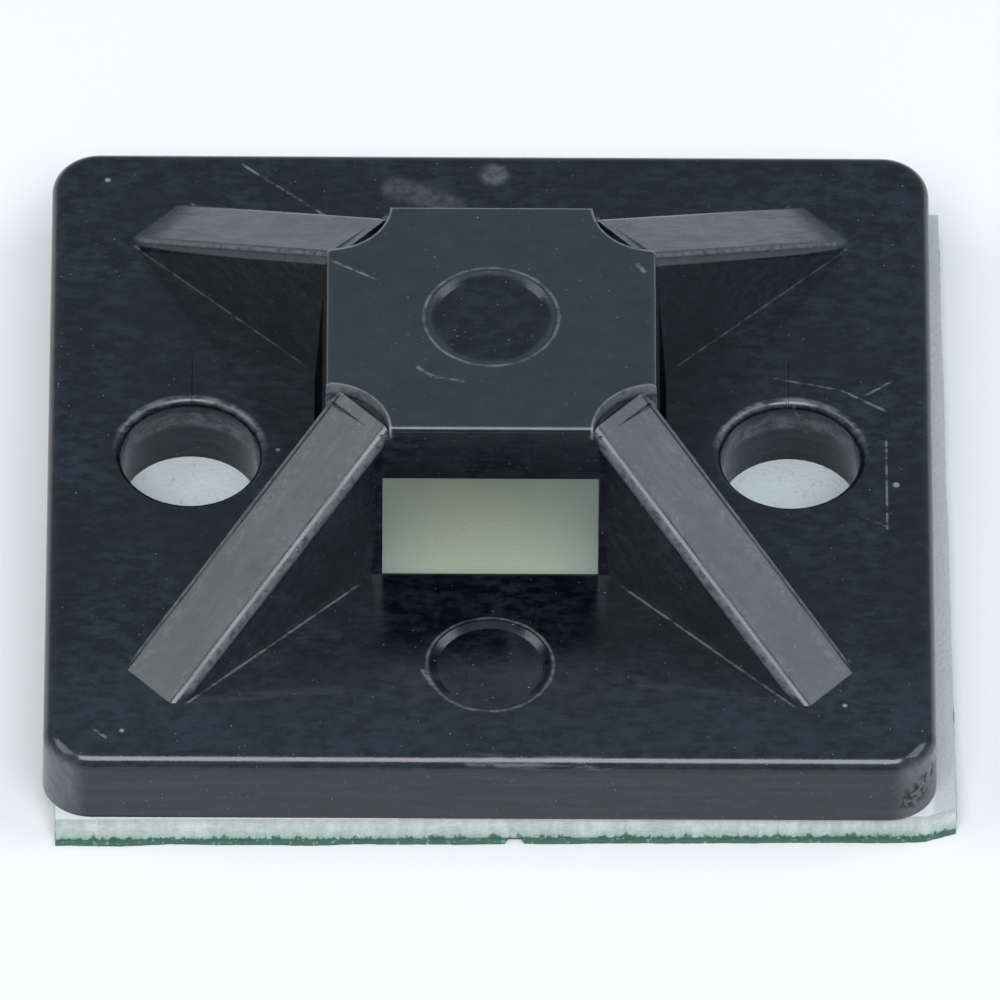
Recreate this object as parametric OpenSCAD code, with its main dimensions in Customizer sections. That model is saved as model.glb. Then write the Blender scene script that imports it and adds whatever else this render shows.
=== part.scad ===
// Four-way cable tie mount: a moulded plate with two screw holes carries an
// octagonal bridge on four diagonal struts. A foam pad and its release liner
// are stuck under it. Millimetres, +Z up; the origin is under the plate's
// centre, on the liner's lower face, which is what the part rests on.

/* [Plate] */
// Width along X at the lower edge
plate_w = 28; // [20:0.1:40]
// Depth along Y at the lower edge
plate_d = 26.66; // [18:0.1:40]
// Thickness
plate_t = 2.55; // [1.5:0.05:5]
// Corner radius seen from above
plate_corner_r = 1.55; // [0.8:0.05:4]
// Radius of the rounded upper edge
plate_edge_r = 0.55; // [0.2:0.05:1]
// Draft of the side walls, degrees
plate_draft = 1; // [0:0.25:3]

/* [Screw holes] */
// Distance between the two hole axes
hole_pitch = 18.94; // [14:0.1:24]
// Radius of the straight wall
hole_r = 2.2; // [1.5:0.05:3]
// Radius of the rounded rim
hole_rim_r = 0.28; // [0.1:0.02:0.5]

/* [Bridge] */
// Height of the bridge's top above the plate
bridge_h = 6.22; // [4:0.1:10]
// Thickness of the bridge over the tie passage
bridge_t = 2.12; // [1:0.05:3]
// Half width along X at the top
bridge_x = 5.16; // [4:0.05:7]
// Half depth along Y at the top
bridge_y = 4.85; // [4:0.05:7]
// Distance from the centre to a corner face at the top
bridge_c = 5.72; // [5:0.05:8]
// Direction the corner faces look, degrees from X
bridge_c_turn = 48; // [40:0.5:50]
// Draft of the four long faces, degrees
bridge_draft = 3.7; // [0:0.1:6]
// Draft of the four corner faces, degrees
bridge_c_draft = 13; // [0:0.5:20]
// Radius of the rounded top edge
bridge_edge_r = 0.26; // [0.1:0.02:0.5]

/* [Struts] */
// Direction of a strut seen from above, degrees from X
strut_turn = 43.6; // [40:0.1:50]
// Slope of the top face, degrees
strut_slope = 32.9; // [25:0.1:45]
// Distance from the centre to the foot's end
strut_reach = 14.71; // [12:0.05:18]
// Half width of a strut
strut_b = 1.28; // [0.8:0.02:2]
// Radius of the rounded upper edges
strut_edge_r = 0.4; // [0.1:0.05:0.6]
// Sideways shift of a strut towards the X side
strut_shift = 0.05; // [0:0.01:0.3]

/* [Corner bites] */
// Radius of the round bite in each bridge corner
bite_r = 1.9; // [1.8:0.02:2.2]
// How far the bite reaches into the bridge
bite_in = 0.6; // [0.5:0.02:0.8]
// Depth of the bite's floor under the bridge's top
bite_deep = 0.46; // [0.2:0.02:1]
// Distance from the centre to the strut's crest
bite_crest = 5.5; // [5.3:0.02:5.7]

/* [Tie passages] */
// Half width of the front-to-back passage
pass_x = 3.39; // [2:0.05:5]
// Half width of the side-to-side passage
pass_y = 3.02; // [2:0.05:5]
// Reach of the window past the centre along Y
window_y = 5.25; // [4:0.05:7]
// Reach of the window past the centre along X
window_x = 5.56; // [4:0.05:7]

/* [Ejector marks] */
// Outer radius of the mark on the bridge
mark_top_r = 2; // [1:0.05:3]
// Outer radius of the mark on the plate
mark_low_r = 1.89; // [1:0.05:3]
// Distance of the plate's mark in front of the centre
mark_low_y = 9.12; // [7:0.05:11]
// Width of a mark's sloping edge
mark_edge = 0.24; // [0.05:0.01:0.5]
// Depth of the marks
mark_deep = 0.12; // [0.02:0.01:0.3]

/* [Adhesive pad] */
// Width of the pad and its liner
pad_w = 28.2; // [20:0.1:40]
// Depth of the foam pad
foam_d = 26.1; // [18:0.1:40]
// Depth of the release liner
liner_d = 26.22; // [18:0.1:40]
// Thickness of the foam pad
foam_t = 0.95; // [0.5:0.05:2]
// Thickness of the release liner
liner_t = 0.15; // [0.05:0.01:0.3]
// Sideways shift of the stuck-on pad
pad_x = 0.37; // [-1:0.01:1]
// Shift of the pad's back edge from the plate's back edge
pad_back = 0.51; // [0:0.01:1]
// Turn of the pad on the plate, degrees
pad_turn = 0.65; // [-2:0.05:2]
// Snipped front right corner, along X
snip_x = 0.95; // [0:0.05:2]
// Snipped front right corner, along Y
snip_y = 0.35; // [0:0.05:2]

/* [Hidden] */
$fn = 96;
plate_z = liner_t + foam_t;       // plate's lower face
top_z = plate_z + plate_t;        // plate's upper face
under = bridge_h - bridge_t;      // bridge's underside above the plate
crest = 15;                       // angle at which a small rounded edge meets its faces
soft_crest = 8;                   // the same for the plate's and the struts' edges

// What a round of radius r about c takes off a corner, between the directions
// "from" and "to", degrees up from the horizontal. side is 1 or -1.
module corner_cut(side, c, r, from, to) {
    difference() {
        polygon([
            [side * c[0], c[1]],
            [side * (c[0] + 2 * r * cos(from)), c[1] + 2 * r * sin(from)],
            [side * (c[0] + 2 * r), c[1] + 2 * r],
            [side * (c[0] + 2 * r * cos(to)), c[1] + 2 * r * sin(to)]
        ]);
        translate([side * c[0], c[1]]) circle(r);
    }
}

// Centre of a round of radius r that meets a top face at height h and a side
// leaning in by the draft from half width b at its foot, both at angle tip
function round_centre(b, h, draft, r, tip) =
    let (z = h - r * cos(tip))
    [b - z * tan(draft) - r * cos(tip) / cos(draft), z];

// Cross-section of height h and half width b at its foot. Both sides lean in
// by the draft, and both upper corners are rounded with radius r.
module section(b, h, draft, r, tip) {
    c = round_centre(b, h, draft, r, tip);
    top = b - h * tan(draft);
    difference() {
        polygon([[-b, 0], [b, 0], [top, h], [-top, h]]);
        for (side = [-1, 1]) corner_cut(side, c, r, draft + tip, 90 - tip);
    }
}

// The outer part of the plate's section, from the corner's centre outwards
module edge_section() {
    c = round_centre(plate_corner_r, plate_t, plate_draft, plate_edge_r, soft_crest);
    difference() {
        polygon([
            [0, 0], [plate_corner_r, 0],
            [plate_corner_r - plate_t * tan(plate_draft), plate_t], [0, plate_t]
        ]);
        corner_cut(1, c, plate_edge_r, plate_draft + soft_crest, 90 - soft_crest);
    }
}

// Outline of a round cutter of radius r whose upper edge flares over an edge
// of radius e, from "deep" below the face it cuts to a little above it
module flare_section(r, e, deep) {
    zc = e * cos(crest);
    difference() {
        translate([0, -deep]) square([r + e * (1 - sin(crest)), deep + 1]);
        translate([r, -deep - 1]) square([r, deep + 1 - zc]);
        translate([r + e, -zc]) circle(e);
    }
}

// A bar along Y with that cross-section
module bar(b, h, draft, r) {
    rotate([90, 0, 0]) linear_extrude(height = 40, center = true)
        section(b, h, draft, r, crest);
}

module each_quarter() {
    for (mx = [0, 1]) for (my = [0, 1])
        mirror([mx, 0, 0]) mirror([0, my, 0]) children();
}

module plate_blank() {
    ix = plate_w / 2 - plate_corner_r;
    iy = plate_d / 2 - plate_corner_r;
    rotate([90, 0, 90]) linear_extrude(height = 2 * ix, center = true)
        section(plate_d / 2, plate_t, plate_draft, plate_edge_r, soft_crest);
    for (mx = [0, 1]) mirror([mx, 0, 0]) translate([ix, 0, 0])
        rotate([90, 0, 0]) linear_extrude(height = 2 * iy, center = true) edge_section();
    each_quarter() translate([ix, iy, 0])
        rotate_extrude(angle = 90) edge_section();
}

// Screw hole with a rounded rim, cut down from the plate's upper face
module screw_hole() {
    rotate_extrude() flare_section(hole_r, hole_rim_r, plate_t + 1);
}

// Drafted octagonal block that becomes the bridge and its four legs
module bridge_blank() {
    drop = bridge_h * tan(bridge_draft);
    intersection() {
        bar(bridge_x + drop, bridge_h, bridge_draft, bridge_edge_r);
        rotate([0, 0, 90]) bar(bridge_y + drop, bridge_h, bridge_draft, bridge_edge_r);
        for_corners(bridge_c_turn);
        for_corners(-bridge_c_turn);
    }
}

module for_corners(turn) {
    rotate([0, 0, turn])
        bar(bridge_c + bridge_h * tan(bridge_c_draft), bridge_h, bridge_c_draft, bridge_edge_r);
}

// One strut: a bar with rounded upper edges that slopes from its crest in the
// bridge's corner down to its foot
module strut() {
    deep = 8;
    intersection() {
        translate([strut_reach, 0, 0]) rotate([0, strut_slope, 0])
            translate([-14, 0, -deep]) rotate([90, 0, 90])
                linear_extrude(height = 17)
                    section(strut_b, deep, 0, strut_edge_r, soft_crest);
        translate([bite_crest, -2, -1]) cube([12, 4, 9]);
    }
}

// Round bite that takes the bridge's corner off above a floor. The strut's
// crest stands in it, with a groove between the two.
module bite() {
    rotate([0, 0, strut_turn])
        translate([bridge_c + bite_r - bite_in, 0, bridge_h])
            translate([0, 0, -bite_deep]) cylinder(h = 2, r = bite_r);
}

// Space left by the core: two crossing passages and the window through the plate
module core() {
    translate([-pass_x, -window_y, -plate_t - 1])
        cube([2 * pass_x, 2 * window_y, plate_t + 1 + under]);
    translate([-window_x, -pass_y, -plate_t - 1])
        cube([2 * window_x, 2 * pass_y, plate_t + 1 + under]);
}

module mark(r) {
    translate([0, 0, -mark_deep])
        cylinder(h = 2 * mark_deep, r1 = r - mark_edge, r2 = r + mark_edge);
}

// Nylon moulding: plate, bridge and struts in one piece
module mount_body() {
    color([0.05, 0.055, 0.06]) translate([0, 0, top_z]) difference() {
        union() {
            translate([0, 0, -plate_t]) plate_blank();
            difference() {
                bridge_blank();
                each_quarter() bite();
            }
            each_quarter() rotate([0, 0, strut_turn])
                translate([0, -strut_shift, 0]) strut();
        }
        core();
        for (mx = [0, 1]) mirror([mx, 0, 0])
            translate([hole_pitch / 2, 0, 0]) screw_hole();
        translate([0, 0, bridge_h]) mark(mark_top_r);
        translate([0, -mark_low_y, 0]) mark(mark_low_r);
    }
}

// Sheet cut with straight edges and one snipped corner, lying at height z
module stuck_sheet(depth, thick, z) {
    back = plate_d / 2 - pad_back;
    translate([pad_x, 0, z]) rotate([0, 0, pad_turn]) linear_extrude(height = thick)
        polygon([
            [-pad_w / 2, back], [-pad_w / 2, back - depth],
            [pad_w / 2 - snip_x, back - depth], [pad_w / 2, back - depth + snip_y],
            [pad_w / 2, back]
        ]);
}

// White foam tape, not punched, so it closes the holes and the window below
module foam_pad() {
    color([0.82, 0.85, 0.83]) stuck_sheet(foam_d, foam_t, liner_t);
}

// Green film that covers the adhesive until the mount is stuck down
module release_liner() {
    color([0.2, 0.45, 0.33]) stuck_sheet(liner_d, liner_t, 0);
}

mount_body();
foam_pad();
release_liner();
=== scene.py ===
# Cable tie mount: a black nylon moulding on a foam pad with a green release
# liner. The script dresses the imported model, lights it and sets the camera.
import math

import bmesh
import bpy
from mathutils import Matrix, Vector, noise


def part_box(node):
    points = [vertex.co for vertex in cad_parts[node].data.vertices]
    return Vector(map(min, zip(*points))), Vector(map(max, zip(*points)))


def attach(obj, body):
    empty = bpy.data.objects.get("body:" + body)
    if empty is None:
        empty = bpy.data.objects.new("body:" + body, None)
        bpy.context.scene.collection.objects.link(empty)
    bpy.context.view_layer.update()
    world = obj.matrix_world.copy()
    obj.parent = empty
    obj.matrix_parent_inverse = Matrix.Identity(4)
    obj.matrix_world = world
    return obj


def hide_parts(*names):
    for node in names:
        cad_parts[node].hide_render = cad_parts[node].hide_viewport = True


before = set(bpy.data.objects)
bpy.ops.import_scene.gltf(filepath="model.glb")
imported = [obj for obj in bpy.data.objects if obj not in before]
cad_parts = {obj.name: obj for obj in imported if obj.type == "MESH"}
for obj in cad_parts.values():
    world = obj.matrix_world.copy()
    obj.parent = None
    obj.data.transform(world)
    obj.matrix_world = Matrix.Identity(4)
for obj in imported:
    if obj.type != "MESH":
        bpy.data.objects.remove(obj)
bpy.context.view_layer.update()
MM = 0.001


# ---- Release liner --------------------------------------------------------
# Green siliconised sheet that covers the lower adhesive. Its cut edges wander
# and fray, and the front edge has one small tear.

LINER_STEP = 0.10 * MM     # between two points of the cut edge
LINER_WANDER = 0.085 * MM  # slow wander of the cut
LINER_FRAY = 0.02 * MM     # quick fray of the cut
LINER_TEAR = (0.5 * MM, 1.0 * MM)  # from and to, along the front edge
TEAR_DEPTH = 0.2 * MM


def cut_outline(node, step):
    """The lower face of a CAD sheet, as one flat face with points a step apart."""
    bm = bmesh.new()
    bm.from_mesh(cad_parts[node].data)
    bmesh.ops.remove_doubles(bm, verts=bm.verts, dist=0.001 * MM)
    bmesh.ops.dissolve_limit(bm, angle_limit=math.radians(1), verts=bm.verts, edges=bm.edges)
    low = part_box(node)[0].z
    upper = [v for v in bm.verts if v.co.z > low + 0.01 * MM]
    bmesh.ops.delete(bm, geom=upper, context="VERTS")
    for edge in list(bm.edges):
        bmesh.ops.bisect_edges(bm, edges=[edge], cuts=int(edge.calc_length() / step))
    return bm


def outward(face):
    """For each corner of a flat face, the level direction away from the face."""
    away = {}
    for loop in face.loops:
        before = loop.vert.co - loop.link_loop_prev.vert.co
        after = loop.link_loop_next.vert.co - loop.vert.co
        sides = before.cross(face.normal).normalized() + after.cross(face.normal).normalized()
        away[loop.vert] = sides.normalized()
    return away


def wobble(place, pitch, seed):
    """A value from -1 to 1 that wanders with the place, over about that pitch."""
    return noise.noise(place / pitch + Vector((seed, 2 * seed, -seed)))


def raise_rings(bm, heights, shift):
    """Pulls a flat face up into a slab, ring by ring. shift gives how far each
    point of a ring moves outwards."""
    bm.faces.ensure_lookup_table()
    face = bm.faces[0]
    face.normal_update()
    away = outward(face)
    if face.normal.z > 0:
        face.normal_flip()
    first = {v: v.co.copy() for v in face.verts}
    for v in face.verts:
        v.co = first[v] + away[v] * shift(first[v])
    ring = face
    start = {i: (first[v], away[v]) for i, v in enumerate(face.verts)}
    for height in heights:
        made = bmesh.ops.extrude_face_region(bm, geom=[ring], use_keep_orig=height == heights[0])
        ring = [g for g in made["geom"] if isinstance(g, bmesh.types.BMFace)][0]
        for i, v in enumerate(ring.verts):
            foot, way = start[i]
            place = foot + Vector((0, 0, height))
            v.co = place + way * shift(place)


def finish_piece(bm, name, node, material):
    """Makes the object of a piece that stands for a CAD node, and hangs it on the body."""
    bmesh.ops.recalc_face_normals(bm, faces=bm.faces)
    mesh = bpy.data.meshes.new(name)
    bm.to_mesh(mesh)
    bm.free()
    piece = bpy.data.objects.new(name, mesh)
    bpy.context.scene.collection.objects.link(piece)
    mesh.materials.append(material)
    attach(piece, "root")
    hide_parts(node)
    return piece


class Finish:
    """The node tree of one finish. Places in it are in millimetres."""

    def __init__(self, name):
        self.material = bpy.data.materials.new(name)
        self.material.use_nodes = True
        self.tree = self.material.node_tree
        self.surface = self.tree.nodes["Principled BSDF"]
        place = self.add("TexCoord").outputs["Object"]
        self.at = self.vector("SCALE", place, scale=1 / MM)
        self.x, self.y, self.z = self.add("SeparateXYZ", self.at).outputs[:3]

    def add(self, kind, *values, **settings):
        node = self.tree.nodes.new("ShaderNode" + kind)
        for key, value in settings.items():
            setattr(node, key, value)
        for socket, value in zip(node.inputs, values):
            self.put(socket, value)
        return node

    def put(self, socket, value):
        if isinstance(value, bpy.types.NodeSocket):
            self.tree.links.new(value, socket)
        else:
            socket.default_value = value

    def set(self, name, value):
        self.put(self.surface.inputs[name], value)

    def math(self, operation, *values, clamp=False):
        return self.add("Math", *values, operation=operation, use_clamp=clamp).outputs[0]

    def vector(self, operation, *values, scale=None):
        node = self.add("VectorMath", *values, operation=operation)
        if scale is not None:
            self.put(node.inputs["Scale"], scale)
        single = operation in ("DISTANCE", "DOT_PRODUCT", "LENGTH")
        return node.outputs["Value" if single else "Vector"]

    def noise(self, pitch, detail=2.0, rough=0.5, stretch=(1, 1, 1), seed=0.0, at=None):
        """Cloudy value from 0 to 1 whose clouds are about a pitch wide, in mm."""
        place = at or self.at
        if seed or stretch != (1, 1, 1):
            place = self.vector("MULTIPLY_ADD", place, stretch, (seed, seed, seed))
        cloud = self.add("TexNoise", place)
        cloud.inputs["Scale"].default_value = 1 / pitch
        cloud.inputs["Detail"].default_value = detail
        cloud.inputs["Roughness"].default_value = rough
        return cloud.outputs["Fac"]

    def step(self, value, low, high, out_low=0.0, out_high=1.0):
        """Soft step from out_low to out_high as the value goes from low to high."""
        node = self.add("MapRange", value, low, high, out_low, out_high)
        node.interpolation_type = "SMOOTHSTEP"
        return node.outputs[0]

    def near(self, value, middle, wide, narrow):
        """1 while the value is within narrow of the middle, fading out until wide."""
        off = self.math("ABSOLUTE", self.math("SUBTRACT", value, middle))
        return self.step(off, wide, narrow)

    def times(self, *values):
        """The product of some values."""
        result = values[0]
        for value in values[1:]:
            result = self.math("MULTIPLY", result, value)
        return result

    def most(self, values):
        """The largest of some values."""
        result = values[0]
        for value in values[1:]:
            result = self.math("MAXIMUM", result, value)
        return result

    def spot(self, centre, radius):
        """1 within a radius of a point, fading out towards its rim."""
        return self.step(self.vector("DISTANCE", self.at, centre), radius, 0.4 * radius)

    def line(self, start, end, width):
        """1 along the straight line between two points, fading out to its sides."""
        along = Vector(end) - Vector(start)
        offset = self.vector("SUBTRACT", self.at, start)
        share = self.vector("DOT_PRODUCT", offset, tuple(along / along.length_squared))
        share = self.math("ADD", share, 0.0, clamp=True)
        foot = self.vector("SCALE", tuple(along), scale=share)
        return self.step(self.vector("DISTANCE", offset, foot), width, 0.3 * width)

    def ring(self, centre, radius, width):
        """1 along a circle that lies level round a point, fading out to its sides."""
        return self.near(self.vector("DISTANCE", self.at, centre), radius, width, 0.3 * width)

    def mix(self, share, one, other):
        """Colour that goes from one to the other as the share goes from 0 to 1."""
        node = self.add("Mix", data_type="RGBA")
        sockets = (node.inputs[0], node.inputs[6], node.inputs[7])
        for socket, value in zip(sockets, (share, one, other)):
            if isinstance(value, tuple):
                value = (*value, 1)
            self.put(socket, value)
        return node.outputs[2]

    def bump(self, height, depth, before=None):
        """Bump of a height from 0 to 1 that stands for a depth in mm."""
        node = self.add("Bump")
        node.inputs["Strength"].default_value = 1.0
        node.inputs["Distance"].default_value = depth * MM
        self.put(node.inputs["Height"], height)
        if before is not None:
            self.put(node.inputs["Normal"], before)
        return node.outputs[0]


def liner_finish():
    f = Finish("green_liner_film")
    cloud = f.noise(0.5, 4)
    fibre = f.noise(0.12, 3, stretch=(1, 1, 0.3), seed=4)
    green = f.mix(cloud, (0.02, 0.065, 0.042), (0.05, 0.14, 0.095))
    f.set("Base Color", f.mix(f.step(fibre, 0.58, 0.75), green, (0.25, 0.42, 0.34)))
    f.set("Roughness", 0.45)
    f.set("Normal", f.bump(fibre, 0.02))
    return f.material


def liner_shift(place):
    wander = LINER_WANDER * wobble(place, 2.2 * MM, 3) + LINER_FRAY * wobble(place, 0.3 * MM, 8)
    if place.y < 0 and LINER_TEAR[0] < place.x < LINER_TEAR[1]:
        wander -= TEAR_DEPTH
    return wander


liner_bm = cut_outline("release_liner", LINER_STEP)
liner_low, liner_high = (corner.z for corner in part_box("release_liner"))
raise_rings(liner_bm, [0.5 * (liner_high - liner_low), liner_high - liner_low], liner_shift)
finish_piece(liner_bm, "release_liner_film", "release_liner", liner_finish())


# ---- Foam pad -------------------------------------------------------------
# White foam tape with adhesive on both faces. Its cut sides are rough, and
# they turn green towards the liner.

FOAM_STEP = 0.12 * MM    # between two points of a ring
FOAM_RINGS = 9           # rings up the foam's side
FOAM_WANDER = 0.04 * MM  # slow wander of the cut
FOAM_CELLS = 0.018 * MM  # open cells on the cut side
# Painted shade under the bridge, tinted sage green, on the foam in the window
WINDOW_SHADED_SAGE = (0.34, 0.38, 0.28)  # the foam in the middle of the window
WINDOW_SHADED_EDGE = (0.40, 0.45, 0.38)  # and towards the window's ends
WINDOW_R = 6.8                    # mm, round the whole window
PLATE_EDGE_X = 13.8               # mm, where the foam sticks out on the right


def foam_finish():
    f = Finish("foam_tape")
    cells = f.noise(0.16, 4, 0.6)

    # Cut side: streaked, with painted shade under the plate, and green towards the liner
    streak = f.noise(0.35, 3, 0.6, stretch=(1, 1, 0.25), seed=7)
    side = f.mix(f.step(streak, 0.35, 0.7), (0.42, 0.45, 0.42), (0.55, 0.57, 0.54))
    # Painted shade along the top of the cut side, under the plate's overhang
    painted_shade_under_plate = f.step(f.z, 0.75, 1.05, 0.0, 0.5)
    side = f.mix(painted_shade_under_plate, side, (0.34, 0.31, 0.31))
    fringe = f.noise(0.22, 4, 0.6, stretch=(1, 1, 0.4), seed=5)
    rise = f.math("SUBTRACT", f.z, f.times(fringe, 1.1))
    tint = f.step(rise, 0.15, -0.25, 0.0, 0.30)
    side = f.mix(tint, side, (0.17, 0.33, 0.24))
    rubbed = f.step(rise, -0.30, -0.42)
    side = f.mix(f.times(rubbed, 0.85), side, (0.03, 0.10, 0.065))

    # Upper face: smudged, with painted shade where it sticks out beside the plate, and painted
    # shade tinted sage green in the window
    cloud = f.noise(1.4, 3, seed=2)
    white = f.mix(cloud, (0.47, 0.51, 0.52), (0.57, 0.60, 0.61))
    smudge = f.step(f.noise(0.5, 4, 0.6, stretch=(3, 1, 1), seed=11), 0.58, 0.72)
    white = f.mix(f.times(smudge, 0.45), white, (0.25, 0.26, 0.26))
    # Painted shade on the strip that sticks out beside the plate's right wall
    painted_shade_ledge = f.step(f.x, PLATE_EDGE_X, PLATE_EDGE_X + 0.2, 0.0, 0.7)
    white = f.mix(painted_shade_ledge, white, (0.40, 0.39, 0.38))
    from_middle = f.vector("LENGTH", f.vector("MULTIPLY", f.at, (1, 1, 0)))
    # Painted shade under the bridge, tinted sage green, paler towards the window's ends
    shaded_sage = f.mix(f.step(f.math("ABSOLUTE", f.x), 1.2, 3.6), WINDOW_SHADED_SAGE, WINDOW_SHADED_EDGE)
    white = f.mix(f.step(from_middle, WINDOW_R, WINDOW_R - 0.6), white, shaded_sage)

    top_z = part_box("foam_pad")[1].z / MM
    on_top = f.step(f.z, top_z - 0.03, top_z - 0.01)
    f.set("Base Color", f.mix(on_top, side, white))
    f.set("Roughness", 0.75)
    f.set("Normal", f.bump(cells, 0.04))
    return f.material


def foam_shift(place):
    wander = FOAM_WANDER * wobble(Vector((place.x, place.y, 0)), 3 * MM, 5)
    return wander + FOAM_CELLS * wobble(place, 0.2 * MM, 1)


foam_bm = cut_outline("foam_pad", FOAM_STEP)
foam_low, foam_high = (corner.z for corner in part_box("foam_pad"))
foam_heights = [(foam_high - foam_low) * (i + 1) / FOAM_RINGS for i in range(FOAM_RINGS)]
raise_rings(foam_bm, foam_heights, foam_shift)
foam = finish_piece(foam_bm, "foam_tape_pad", "foam_pad", foam_finish())


# ---- Mount body -----------------------------------------------------------
# One injection moulding in black nylon. Its faces are glossy with a slight swell, and they carry
# dust, scuffs and fine scratches, with painted highlights, reflections and sheen.

NYLON = (0.0018, 0.0024, 0.0034)
# Painted sheen, in random mottles, where the nylon mirrors more of the room
NYLON_SHEEN_MOTTLED = (0.010, 0.0145, 0.022)
NYLON_MILLED = (0.020, 0.017, 0.019)  # streaks on the plate's walls
# Lighter nylon: painted light at the front of the plate, and part of the low ejector mark
NYLON_LIGHTER = (0.014, 0.018, 0.025)
HAZE_DARK = (0.012, 0.016, 0.021)
HAZE_LIGHT = (0.022, 0.026, 0.032)
DIRT = (0.004, 0.006, 0.004)
# Colour of scuffed nylon, also used for the painted highlights and reflections
WORN_AND_HIGHLIGHT = (0.16, 0.165, 0.17)      # scuffed nylon
PLATE_TOP = 3.65                # mm, as all places and lengths below
BRIDGE_TOP = 9.87
STRUT_WAY = (0.724, 0.690, 0)   # direction of a strut seen from above
STRUT_REACH = 14.71
STRUT_FALL = 0.647              # fall of a strut's top per mm outwards
STRUT_EDGE = 1.13               # from a strut's middle line to its upper edge
STRUT_INNER = 0.75              # to the scuffed band inside that edge
STRUT_FOOT = 1.30               # to its foot
BITE_AXIS = (5.16, 4.91, 0)
BITE_RIM = 1.95
HOLE_X = 9.47
HOLE_RIM = 2.36
TOP_MARK_RIM = 2.12
LOW_MARK_Y = -9.12
LOW_MARK_RIM = 1.99
KNIT_X = 9.4                    # middle of the knit line behind a hole
KNIT_Y = 3.1


def on_plate(*place):
    return (*place, PLATE_TOP)


def on_bridge(*place):
    return (*place, BRIDGE_TOP)


def scratches_and_glint(f):
    """Light scratches and nicks on the plate and the bridge, and one painted glint."""
    return f.most([
        f.line(on_plate(-7.9, 12.6), on_plate(-5.3, 10.4), 0.07),   # behind the left strut
        f.line(on_plate(9.0, 3.3), on_plate(11.1, 2.8), 0.05),      # round the right hole
        f.line(on_plate(11.1, 2.8), on_plate(12.5, 1.9), 0.06),
        f.line(on_plate(12.5, 0.7), on_plate(12.5, -3.2), 0.05),    # along the right edge
        f.line(on_plate(11.7, -2.7), on_plate(12.5, -3.1), 0.06),
        f.line(on_plate(11.9, 2.6), on_plate(12.7, 3.2), 0.06),
        f.line(on_plate(-12.4, -11.9), on_plate(-12.0, -12.3), 0.07),
        # A painted glint by the low mark
        f.line(on_plate(-2.1, -9.4), on_plate(-1.8, -10.0), 0.10),  # by the low mark
        f.line((9.6, 2.19, 3.5), (10.0, 2.13, 2.4), 0.08),          # a fibre in the right hole
        f.line(on_bridge(-2.3, -2.2), on_bridge(-1.8, -2.6), 0.09),
        f.line(on_bridge(-1.8, -2.6), on_bridge(-0.9, -2.8), 0.09),
        f.line(on_bridge(-5.0, 2.4), on_bridge(-3.6, 1.6), 0.06),
        f.line(on_bridge(4.6, 2.3), on_bridge(4.8, 2.0), 0.10),
    ])


def specks(f):
    """Grains of light dust."""
    return f.most([
        f.spot(on_plate(12.8, -1.3), 0.14),
        f.spot(on_plate(5.2, -3.6), 0.1),
        f.spot(on_plate(-12.2, 11.9), 0.12),
        f.spot(on_plate(-6.7, 0.1), 0.09),
        f.spot(on_plate(11.1, -10.8), 0.1),
        f.spot(on_plate(-11.5, -12.0), 0.1),
        f.spot(on_bridge(0.4, 1.1), 0.09),
    ])


def knit_lines(f):
    """Where the melt met again behind each hole."""
    aside = f.near(f.math("ABSOLUTE", f.x), KNIT_X, 0.05, 0.02)
    return f.times(aside, f.near(f.y, KNIT_Y, 1.0, 0.9))


def ground(f, cloud, streaks):
    """Colour and roughness of the nylon before any wear, with painted sheen in mottles and
    painted light at the front.
    """
    # Bluish mottles of painted sheen
    sheen_mottle = f.times(f.step(cloud, 0.3, 0.7, 0.25, 1.0), f.step(streaks, 0.38, 0.66))
    base = f.mix(sheen_mottle, NYLON, NYLON_SHEEN_MOTTLED)
    wall = f.step(f.z, PLATE_TOP - 0.35, PLATE_TOP - 0.6)
    mill = f.noise(0.25, 2, 0.6, stretch=(0.05, 0.05, 1.2), seed=17)
    base = f.mix(f.times(f.step(mill, 0.42, 0.68), wall, 0.75), base, NYLON_MILLED)
    rough = f.step(cloud, 0.3, 0.7, 0.22, 0.14)

    # The bridge's top is hazy, apart from the floor of its ejector mark
    top = f.step(f.z, BRIDGE_TOP - 0.09, BRIDGE_TOP - 0.03)
    haze = f.times(top, f.step(cloud, 0.2, 0.8, 0.75, 1.0))
    base = f.mix(haze, base, f.mix(streaks, HAZE_DARK, HAZE_LIGHT))
    rough = f.math("ADD", rough, f.times(haze, 0.1))

    # The front of the plate is painted lighter towards its front edge, painted light; the right
    # part of the low ejector mark is lighter too
    front = f.times(f.step(f.y, -8.0, -10.5, 0.0, 0.6), f.step(streaks, 0.3, 0.65, 0.4, 1.0))
    in_mark = f.step(f.vector("DISTANCE", f.at, on_plate(0, LOW_MARK_Y)), 1.8, 1.7)
    in_mark = f.times(in_mark, f.step(f.x, 0.4, 0.7, 0.0, 0.6))
    base = f.mix(f.math("MAXIMUM", front, in_mark), base, NYLON_LIGHTER)
    return base, rough


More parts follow.
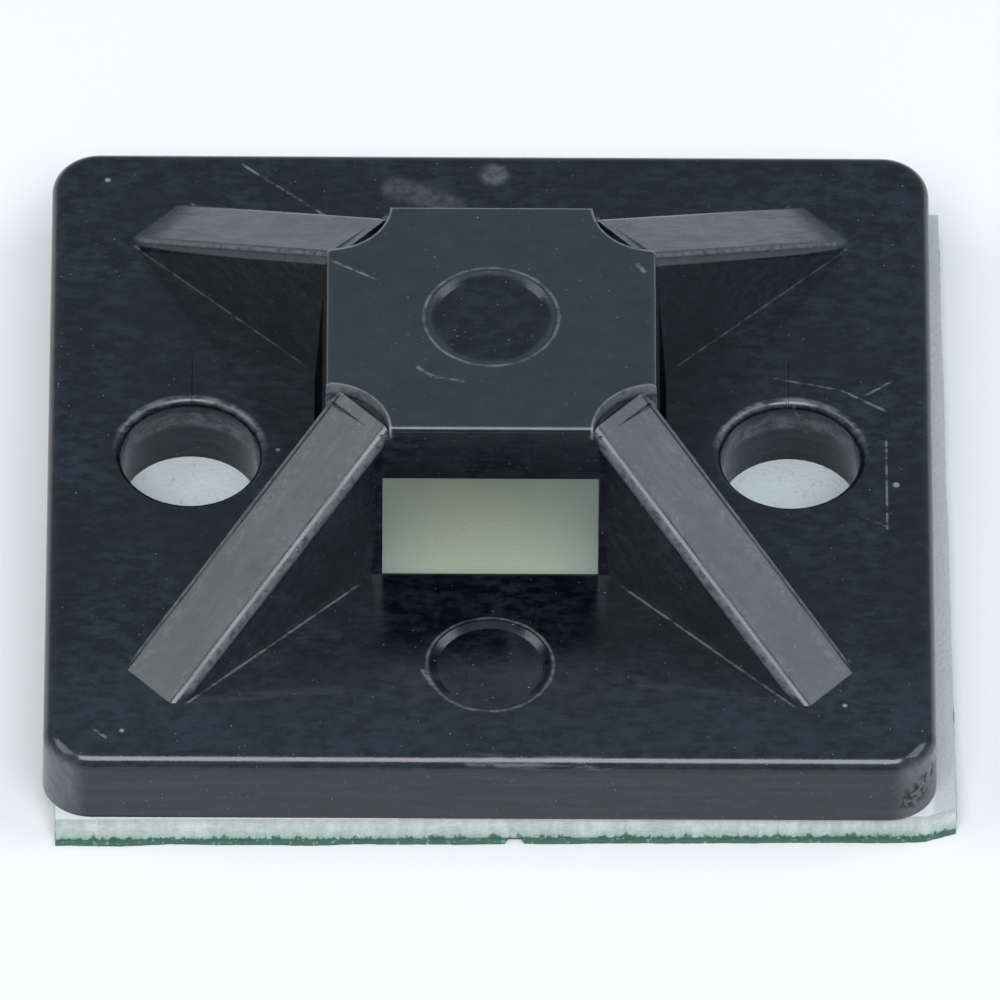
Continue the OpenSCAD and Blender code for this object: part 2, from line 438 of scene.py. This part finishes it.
def strut_wear_and_highlights(f, grit, streaks):
    """Pale marks on the struts, each from 0 to 1: wear, and painted highlights on the edges, the
    feet and the tops behind; and how rough their tops are.
    """
    fold = f.vector("ABSOLUTE", f.at)
    outwards = f.vector("DOT_PRODUCT", fold, STRUT_WAY)
    sideways = f.vector("DOT_PRODUCT", fold, (STRUT_WAY[1], -STRUT_WAY[0], 0))
    aside = f.math("ABSOLUTE", sideways)
    foot_level = -STRUT_REACH * STRUT_FALL - PLATE_TOP
    slope = f.math("MULTIPLY_ADD", outwards, STRUT_FALL, foot_level)
    above_top = f.math("ADD", slope, f.z)
    under_bridge_top = f.step(f.z, BRIDGE_TOP - 0.2, BRIDGE_TOP - 0.3)

    # Striations along the tops; the tops of the two struts behind are painted a little paler, a
    # painted highlight
    on_strut = f.times(
        f.step(above_top, -0.10, -0.03),
        f.step(f.z, PLATE_TOP + 0.02, PLATE_TOP + 0.1),
        under_bridge_top,
    )
    grooves = f.add("CombineXYZ", f.times(outwards, 0.12), sideways, f.z).outputs[0]
    scuffs = f.noise(0.2, 3, 0.65, stretch=(1, 1, 0.12), at=grooves)
    worn = f.times(on_strut, f.step(scuffs, 0.40, 0.72, 0.0, 0.20))
    back_struts_painted_sheen = f.times(on_strut, f.step(f.y, 2.0, 4.0, 0.0, 0.12))
    rough = f.times(on_strut, f.step(scuffs, 0.35, 0.7, 0.0, 0.12))

    # Painted highlight along each strut's rounded upper edge
    edge = f.times(
        f.near(aside, STRUT_EDGE, 0.10, 0.03),
        f.step(f.z, PLATE_TOP + 0.05, PLATE_TOP + 0.3),
        f.step(above_top, -0.5, -0.3),
        under_bridge_top,
        f.step(grit, 0.3, 0.6, 0.15, 0.45),
    )
    inner_edge = f.times(
        f.near(aside, STRUT_INNER, 0.25, 0.05), on_strut, f.step(grit, 0.45, 0.6), 0.2
    )
    # A pale line, a painted highlight, stands for the small fillet at the feet, which isn't
    # modelled
    foot = f.times(
        f.near(aside, STRUT_FOOT, 0.06, 0.02),
        f.step(f.z, PLATE_TOP + 0.10, PLATE_TOP + 0.04),
        f.step(f.z, PLATE_TOP - 0.1, PLATE_TOP - 0.05),
        f.step(outwards, 6.6, 7.4),
        f.step(outwards, 14.5, 14.2),
        f.step(streaks, 0.35, 0.6, 0.1, 0.6),
    )
    return [worn, back_struts_painted_sheen, edge, inner_edge, foot], rough


def rim_highlights(f, grit, streaks):
    """Painted highlights on the rims of the bites, the ejector marks and the holes."""
    # The bites' pale rims are painted highlights that stand for their flared upper edges, which
    # aren't modelled
    level = f.vector("MULTIPLY", f.vector("ABSOLUTE", f.at), (1, 1, 0))
    flare_highlight = f.times(
        f.near(f.vector("DISTANCE", level, BITE_AXIS), BITE_RIM, 0.13, 0.07),
        f.step(f.z, BRIDGE_TOP - 0.5, BRIDGE_TOP - 0.3),
        f.step(grit, 0.25, 0.6, 0.35, 0.75),
    )
    # Painted highlights round both ejector marks, and on the back half of each hole's rim
    behind = f.step(f.y, -0.4, 1.4)
    circle_highlights = f.most([
        f.ring(on_bridge(0, 0), TOP_MARK_RIM, 0.07),
        f.ring(on_plate(0, LOW_MARK_Y), LOW_MARK_RIM, 0.07),
        f.times(f.ring(on_plate(HOLE_X, 0), HOLE_RIM, 0.16), behind),
        f.times(f.ring(on_plate(-HOLE_X, 0), HOLE_RIM, 0.16), behind),
    ])
    return [flare_highlight, f.times(circle_highlights, f.step(streaks, 0.35, 0.65, 0.10, 0.50))]


def plate_wear_and_highlights(f, grit, streaks):
    """Pale marks on the plate, each from 0 to 1: painted reflections on the corners, scratches
    with one painted glint, smears, a painted highlight on the front fillet, faint lines, and
    dust.
    """
    # Painted reflection on the plate's four rounded vertical corners
    corner = f.times(
        f.step(f.math("ABSOLUTE", f.x), 12.5, 13.3),
        f.step(f.math("ABSOLUTE", f.y), 11.9, 12.6),
        f.step(f.z, PLATE_TOP - 0.05, PLATE_TOP - 0.5),
        f.step(grit, 0.3, 0.7, 0.3, 0.5),
    )
    marks = f.times(scratches_and_glint(f), f.step(streaks, 0.40, 0.60, 0.05, 0.6))
    smears = f.most([
        f.spot(on_plate(0.1, 12.2), 0.62),
        f.times(f.line(on_plate(-3.0, 11.6), on_plate(-1.3, 10.8), 0.7), 0.6),
    ])
    smears = f.times(smears, f.step(grit, 0.3, 0.75, 0.15, 0.45))
    drag = f.noise(0.15, 2, 0.6, stretch=(0.12, 1, 1), seed=23)
    # Painted highlight along the middle of the plate's front fillet, streaky
    front_fillet_highlight = f.line((-0.6, -13.1, 3.5), (4.1, -13.2, 3.5), 0.3)
    front_fillet_highlight = f.times(front_fillet_highlight, f.step(drag, 0.42, 0.65, 0.0, 0.4))
    # Faint pale lines running from the front struts' feet across the plate
    faint_lines = f.most([
        f.line(on_plate(-9.1, -10.7), on_plate(-4.7, -10.2), 0.25),
        f.line(on_plate(4.7, -9.9), on_plate(9.4, -10.7), 0.25),
    ])
    faint_lines = f.times(faint_lines, f.step(drag, 0.35, 0.65, 0.02, 0.07))
    dust = f.step(f.noise(0.09, 1, 0.5, seed=13), 0.76, 0.80)
    return [corner, marks, smears, front_fillet_highlight, faint_lines, dust, specks(f)]


def nylon_finish():
    f = Finish("black_nylon")
    cloud = f.noise(2.5, 3, 0.55)
    grit = f.noise(0.25, 3, 0.6, seed=6)
    streaks = f.noise(0.35, 3, 0.7, stretch=(0.55, 1, 1.2), seed=15)

    base, rough = ground(f, cloud, streaks)
    strut_marks, strut_rough = strut_wear_and_highlights(f, grit, streaks)
    # Wear, dust, and painted highlights and reflections, all in the same pale colour
    light = f.most(strut_marks + rim_highlights(f, grit, streaks) + plate_wear_and_highlights(f, grit, streaks))
    base = f.mix(light, base, WORN_AND_HIGHLIGHT)
    rough = f.math("ADD", f.math("ADD", rough, strut_rough), f.times(light, 0.3))

    # Oily dirt on the front right corner
    dirt = f.line((13.2, -13.2, 1.9), (13.9, -12.7, 2.4), 0.75)
    dirt = f.times(dirt, f.step(grit, 0.47, 0.53))
    base = f.mix(dirt, base, DIRT)
    rough = f.math("MAXIMUM", rough, f.times(dirt, 0.7))

    f.set("Base Color", base)
    f.set("Roughness", rough)
    swell = f.bump(f.noise(1.4, 1, 0.4, seed=5), 0.010)
    groove = f.bump(f.times(knit_lines(f), -1.0), 0.012, swell)
    f.set("Normal", f.bump(f.noise(0.16, 2, 0.6, seed=3), 0.0024, groove))
    return f.material


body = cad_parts["mount_body"]
body.data.materials.clear()
body.data.materials.append(nylon_finish())


# ---- Table ----------------------------------------------------------------
# Plain pale sheet that the mount lies on.

TABLE_HALF = 1.5  # metres



def table_finish():
    f = Finish("pale_table")
    f.set("Base Color", (0.68, 0.66, 0.64, 1))
    f.set("Roughness", 0.6)
    return f.material


table_bm = bmesh.new()
bmesh.ops.create_grid(table_bm, x_segments=1, y_segments=1, size=TABLE_HALF)
table_mesh = bpy.data.meshes.new("table")
table_bm.to_mesh(table_mesh)
table_bm.free()
table_mesh.materials.append(table_finish())
table = bpy.data.objects.new("table", table_mesh)
bpy.context.scene.collection.objects.link(table)


# ---- Lights ---------------------------------------------------------------
# A broad soft box above the front, one on each side, and a pale room.

ROOM_COLOUR = (0.64, 0.82, 1.0, 1)
ROOM_STRENGTH = 0.53


def direction(turn, height):
    """Where a turn round the mount and a height, in degrees, lead to from it."""
    turn, height = math.radians(turn), math.radians(height)
    return Vector((
        math.sin(turn) * math.cos(height),
        -math.cos(turn) * math.cos(height),
        math.sin(height),
    ))


def soft_box(name, turn, height, distance, size, power, colour):
    """A square light that faces the mount from that turn and height, in degrees."""
    light = bpy.data.lights.new(name, "AREA")
    light.shape = "RECTANGLE"
    light.size, light.size_y = size
    light.energy = power
    light.color = colour
    lamp = bpy.data.objects.new(name, light)
    away = direction(turn, height)
    lamp.location = away * distance
    lamp.rotation_euler = away.to_track_quat("Z", "Y").to_euler()
    lamp.visible_camera = False
    bpy.context.scene.collection.objects.link(lamp)


soft_box("soft_box_front", 0, 56, 0.6, (0.5, 0.27), 3.6, (0.93, 0.96, 1.0))
soft_box("soft_box_left", -90, 47, 0.6, (0.4, 0.3), 1.1, (1.0, 0.98, 0.94))
soft_box("soft_box_right", 90, 47, 0.6, (0.4, 0.3), 1.2, (0.88, 0.95, 1.0))

world = bpy.data.worlds.new("pale_room")
world.use_nodes = True
background = world.node_tree.nodes["Background"]
background.inputs["Color"].default_value = ROOM_COLOUR
background.inputs["Strength"].default_value = ROOM_STRENGTH
bpy.context.scene.world = world
bpy.context.scene.view_settings.view_transform = "Standard"


# ---- Camera ---------------------------------------------------------------
# Long lens from above the front, aimed a little past the plate's centre.

CAMERA_HEIGHT = 46.6   # degrees above the table
CAMERA_TURN = -0.3     # degrees round to the left
CAMERA_ROLL = 0.5      # degrees
CAMERA_AWAY = 820 * MM
AIM_RIGHT = 0.32 * MM  # of the plate's centre, across the view
AIM_UP = -1.48 * MM
LENS = 935.5           # mm
SENSOR = 36            # mm

plate_top = Vector((0, 0, PLATE_TOP * MM))
away = direction(CAMERA_TURN, CAMERA_HEIGHT)
across = direction(CAMERA_TURN + 90, 0)
aim = plate_top + across * AIM_RIGHT + away.cross(across) * AIM_UP
camera_data = bpy.data.cameras.new("camera")
camera_data.sensor_width = SENSOR
camera_data.lens = LENS
camera_data.clip_start = 0.05
camera_data.clip_end = 5
camera = bpy.data.objects.new("camera", camera_data)
camera.location = plate_top + away * CAMERA_AWAY
look = (camera.location - aim).to_track_quat("Z", "Y").to_matrix()
roll = Matrix.Rotation(math.radians(CAMERA_ROLL), 3, "Z")
camera.rotation_euler = (look @ roll).to_euler()
bpy.context.scene.collection.objects.link(camera)
bpy.context.scene.camera = camera
